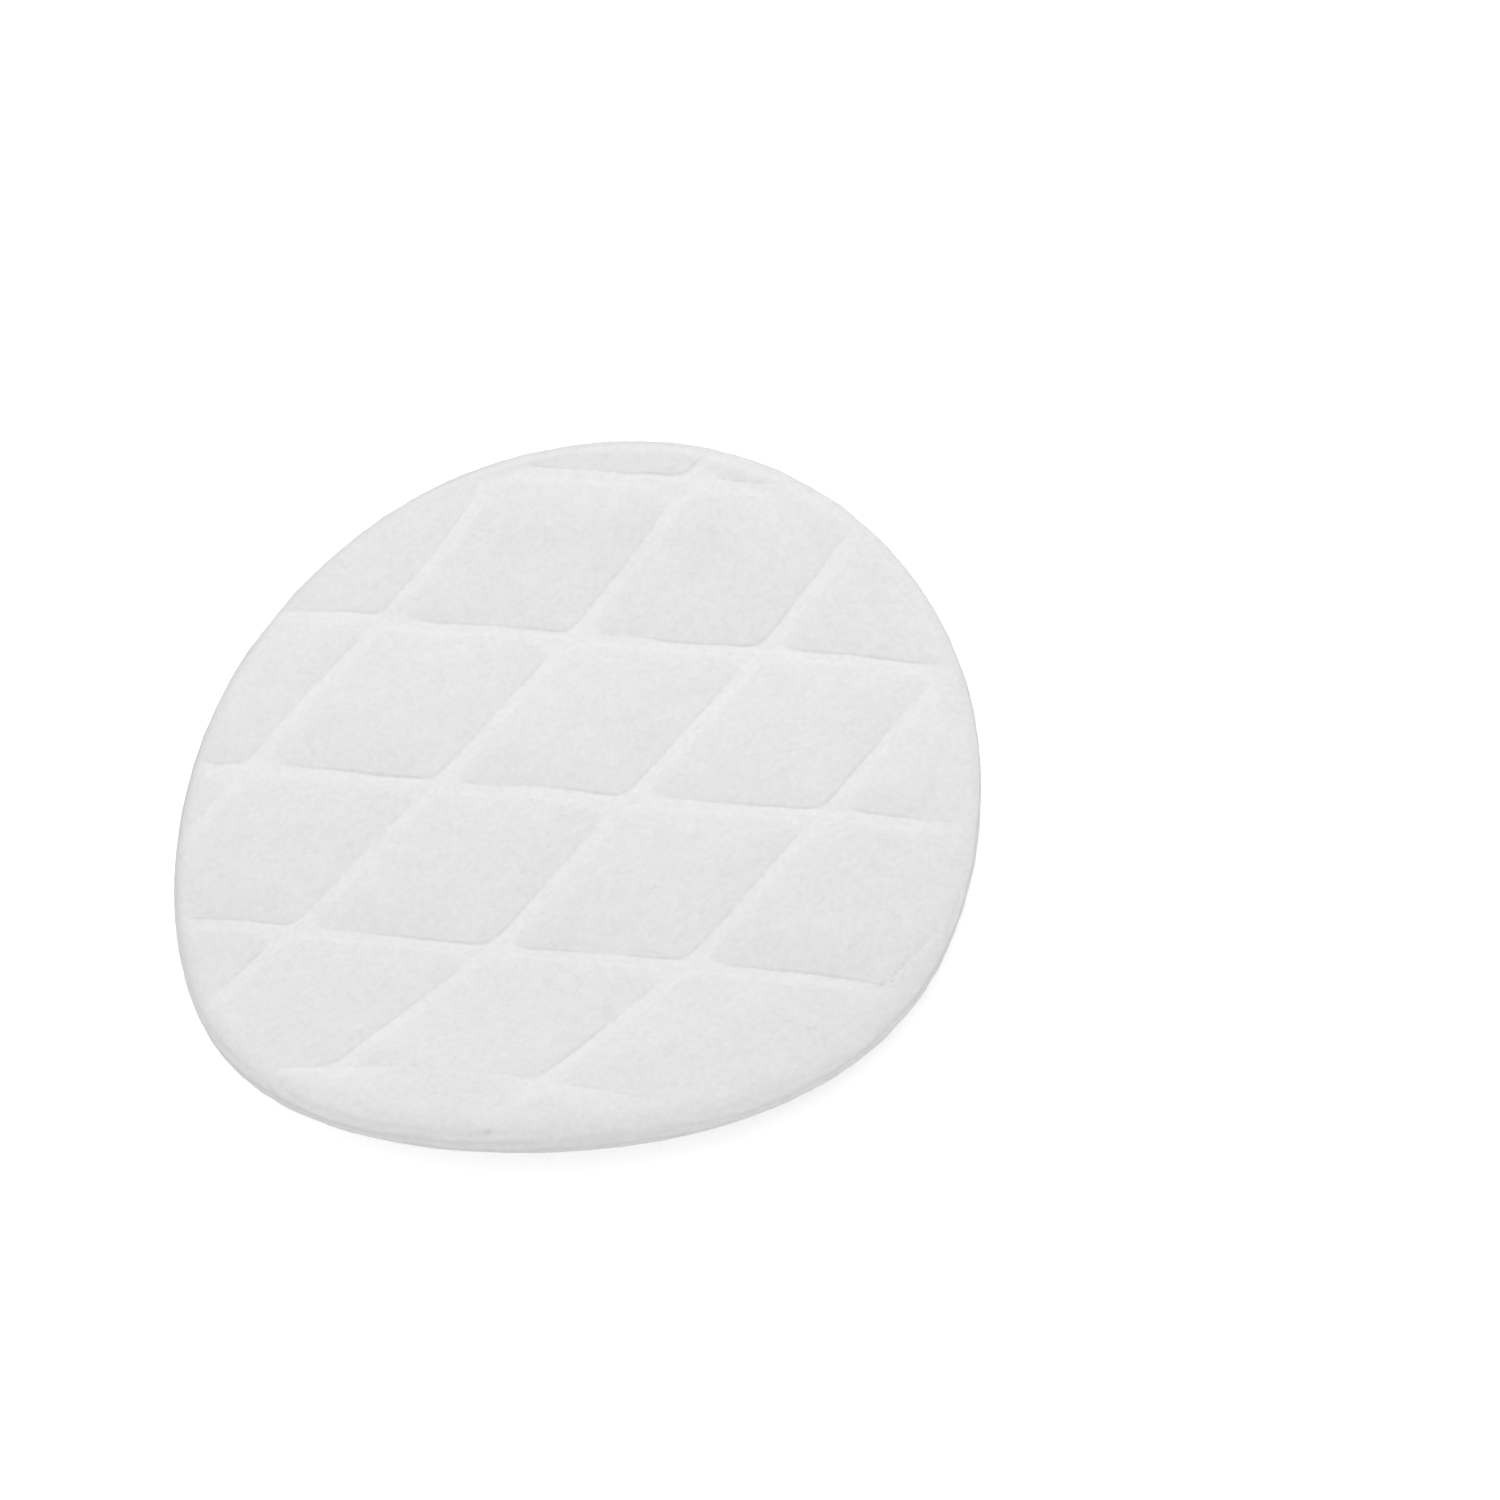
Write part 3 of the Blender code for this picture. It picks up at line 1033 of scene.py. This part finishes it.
def fleck_share(nodes, links):
    """FLECK_TONE in one soft-edged grain, and 1 everywhere else."""
    mapping = nodes.new("ShaderNodeMapping")
    mapping.inputs["Location"].default_value = tuple(-FLECK_PLACE / FLECK_SIZE)
    mapping.inputs["Scale"].default_value = tuple(1 / FLECK_SIZE)
    links.new(nodes.new("ShaderNodeTexCoord").outputs["Object"], mapping.inputs["Vector"])
    away = nodes.new("ShaderNodeVectorMath")
    away.operation = "LENGTH"
    links.new(mapping.outputs["Vector"], away.inputs[0])
    return ranged(nodes, links, away.outputs["Value"], FLECK_EDGE, (FLECK_TONE, 1.0))


def rim_shade_and_fleck(nodes, links, tone):
    """The group's tone with the rim's painted shade and the fleck in it."""
    with_rim_shade = maths(nodes, links, "MULTIPLY", tone, rim_shade_factor(nodes, links))
    return maths(nodes, links, "MULTIPLY", with_rim_shade, fleck_share(nodes, links))


web_cotton = cotton_material("cotton web", WEB_TONE, PRESSED_AND_HIGHLIGHT_TONE, WEB_RELIEF, rim_shade_and_fleck)
fibre_cotton = cotton_material("loose cotton fibre", LIGHTENED_FIBRE_TONE, LIGHTENED_FIBRE_TONE, FIBRE_RELIEF)
pad.data.materials.append(web_cotton)
print("finishes:", web_cotton.name, "and", fibre_cotton.name)

# %% [markdown]
# ## Loose fibres
#
# A pad always sheds a little. Single fibres lie on its faces and stand out of the cut rim. One
# Geometry Nodes group strews them: it drops points where an attribute of the web says, sets one
# bent fibre on each, and turns and sizes every one by a fixed seed.

# %% One bent fibre
FIBRE_RESOLUTION = 4
FIBRE_SIDES = 3
BEND_ALONG = 0.45
BEND_ASIDE = 0.4
BEND_LIFT = 2.0


def bent_fibre(nodes, links, given):
    """A thin three-sided tube along a bent curve."""
    bend, tip = nodes.new("ShaderNodeCombineXYZ"), nodes.new("ShaderNodeCombineXYZ")
    shares = (("X", "Length", BEND_ALONG), ("Y", "Length", BEND_ASIDE), ("Z", "Lift", BEND_LIFT))
    for axis, size, share in shares:
        links.new(maths(nodes, links, "MULTIPLY", given[size], share), bend.inputs[axis])
    links.new(given["Length"], tip.inputs["X"])
    curve = nodes.new("GeometryNodeCurveQuadraticBezier")
    curve.inputs["Resolution"].default_value = FIBRE_RESOLUTION
    curve.inputs["Start"].default_value = (0.0, 0.0, 0.0)
    links.new(bend.outputs[0], curve.inputs["Middle"])
    links.new(tip.outputs[0], curve.inputs["End"])
    ring = nodes.new("GeometryNodeCurvePrimitiveCircle")
    ring.inputs["Resolution"].default_value = FIBRE_SIDES
    links.new(maths(nodes, links, "MULTIPLY", given["Thickness"], 0.5), ring.inputs["Radius"])
    tube = nodes.new("GeometryNodeCurveToMesh")
    tube.inputs["Fill Caps"].default_value = True
    links.new(curve.outputs["Curve"], tube.inputs["Curve"])
    links.new(ring.outputs["Curve"], tube.inputs["Profile Curve"])
    return tube.outputs["Mesh"]


# %% Random sizes and turns
def enabled(sockets):
    """The sockets that a node shows for its present kind of value."""
    return [socket for socket in sockets if socket.enabled]


def random_value(nodes, links, kind, low, high, seed):
    """One random value for each point, between two ends."""
    node = nodes.new("FunctionNodeRandomValue")
    node.data_type = kind
    ends = [socket for socket in enabled(node.inputs) if socket.name in ("Min", "Max")]
    for socket, value in zip(ends, (low, high)):
        feed(links, value, socket)
    links.new(seed, node.inputs["Seed"])
    return enabled(node.outputs)[0]


def turned_about(nodes, links, given):
    """A random turn: all the way round the normal, and a little out of the surface."""
    ends = []
    for sign in (-1.0, 1.0):
        spread = maths(nodes, links, "MULTIPLY", given["Spread"], sign)
        corner = nodes.new("ShaderNodeCombineXYZ")
        links.new(spread, corner.inputs["X"])
        links.new(spread, corner.inputs["Y"])
        corner.inputs["Z"].default_value = sign * math.pi
        ends.append(corner.outputs[0])
    angles = random_value(nodes, links, "FLOAT_VECTOR", *ends, given["Seed"])
    turn = nodes.new("FunctionNodeEulerToRotation")
    links.new(angles, turn.inputs[0])
    return turn.outputs[0]


# %% The lint group
FIBRE_SCALES = (0.5, 1.4)
LINT_INPUTS = (
    ("Density", "NodeSocketFloat"),
    ("Length", "NodeSocketFloat"),
    ("Thickness", "NodeSocketFloat"),
    ("Lift", "NodeSocketFloat"),
    ("Spread", "NodeSocketFloat"),
    ("Seed", "NodeSocketInt"),
    ("Where", "NodeSocketString"),
    ("Material", "NodeSocketMaterial"),
)


def lint_group():
    """Points on the web, a fibre on each, then real meshes with the fibres' finish."""
    group = bpy.data.node_groups.new("loose lint", "GeometryNodeTree")
    group.interface.new_socket("Geometry", in_out="INPUT", socket_type="NodeSocketGeometry")
    for name, kind in LINT_INPUTS:
        group.interface.new_socket(name, in_out="INPUT", socket_type=kind)
    group.interface.new_socket("Geometry", in_out="OUTPUT", socket_type="NodeSocketGeometry")
    nodes, links = group.nodes, group.links
    given, made = nodes.new("NodeGroupInput").outputs, nodes.new("NodeGroupOutput").inputs
    where = nodes.new("GeometryNodeInputNamedAttribute")
    where.data_type = "FLOAT"
    links.new(given["Where"], where.inputs["Name"])
    share = enabled(where.outputs)[0]
    points = nodes.new("GeometryNodeDistributePointsOnFaces")
    links.new(given["Geometry"], points.inputs["Mesh"])
    links.new(maths(nodes, links, "MULTIPLY", given["Density"], share), points.inputs["Density"])
    links.new(given["Seed"], points.inputs["Seed"])
    turn = nodes.new("FunctionNodeRotateRotation")
    turn.rotation_space = "LOCAL"
    links.new(points.outputs["Rotation"], turn.inputs[0])
    links.new(turned_about(nodes, links, given), turn.inputs[1])
    spots = nodes.new("GeometryNodeInstanceOnPoints")
    links.new(points.outputs["Points"], spots.inputs["Points"])
    links.new(bent_fibre(nodes, links, given), spots.inputs["Instance"])
    links.new(turn.outputs[0], spots.inputs["Rotation"])
    scale = random_value(nodes, links, "FLOAT", *FIBRE_SCALES, given["Seed"])
    links.new(scale, spots.inputs["Scale"])
    real = nodes.new("GeometryNodeRealizeInstances")
    links.new(spots.outputs[0], real.inputs[0])
    finish = nodes.new("GeometryNodeSetMaterial")
    links.new(real.outputs[0], finish.inputs["Geometry"])
    links.new(given["Material"], finish.inputs["Material"])
    links.new(finish.outputs[0], made[0])
    return group


lint_nodes = lint_group()
print(lint_nodes.name, "group with", len(lint_nodes.nodes), "nodes")

# %% [markdown]
# The lint is strewn three times, since each part of the pad sheds in its own way: long fibres lie
# flat on both faces, and short ones stand out of the cut rim. Each row below gives the name, the
# attribute that says where, how many, the length and the lift in millimetres, and the spread in
# degrees. The result is turned into a plain mesh, and no fibre goes below the floor.

# %% Strew the lint
LINT = (
    ("face_lint", "upper", 900, 1.3, 0.015, 1),
    ("rim_lint", "cut_rim_and_shade", 900, 0.9, 0.05, 12),
    ("under_lint", "under", 600, 1.3, 0.015, 1),
)
LINT_SEED = 71
FIBRE_THICKNESS = 0.009 * MM
FIBRE_POINTS = (FIBRE_RESOLUTION + 1) * FIBRE_SIDES


def share_area(name):
    """The pad's area where an attribute is 1."""
    values = np.empty(len(pad.data.vertices))
    pad.data.attributes[name].data.foreach_get("value", values)
    return sum(face.area * values[list(face.vertices)].mean() for face in pad.data.polygons)


def strewn(seed, name, where, count, length, lift, spread):
    """One piece of lint as a plain mesh."""
    carrier = linked(name + "_carrier", pad.data)
    modifier = carrier.modifiers.new("lint", "NODES")
    modifier.node_group = lint_nodes
    wanted = {
        "Density": count / share_area(where),
        "Length": length * MM,
        "Thickness": FIBRE_THICKNESS,
        "Lift": lift * MM,
        "Spread": math.radians(spread),
        "Seed": seed,
        "Where": where,
        "Material": fibre_cotton,
    }
    for socket in lint_nodes.interface.items_tree:
        if socket.name in wanted and socket.in_out == "INPUT":
            modifier[socket.identifier] = wanted[socket.name]
    carrier.update_tag()
    ready = carrier.evaluated_get(bpy.context.evaluated_depsgraph_get())
    mesh = bpy.data.meshes.new_from_object(ready)
    bpy.data.objects.remove(carrier)
    mesh.name = name
    for vertex in mesh.vertices:
        vertex.co.z = max(vertex.co.z, 0.0)
    print(name, len(mesh.vertices) // FIBRE_POINTS, "fibres", len(mesh.polygons), "faces")
    return linked(name, mesh)


lint = [strewn(LINT_SEED + index, *kind) for index, kind in enumerate(LINT)]

# %% [markdown]
# ## Hand over
#
# Every piece rides on the frame's one body and stands for its one solid, which is hidden.

# %% Hand the pieces to the frame
for piece in [pad] + lint:
    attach(piece, "root")
    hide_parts("cotton_pad")
bpy.context.scene.view_settings.view_transform = "Standard"
print("pieces", [piece.name for piece in [pad] + lint])
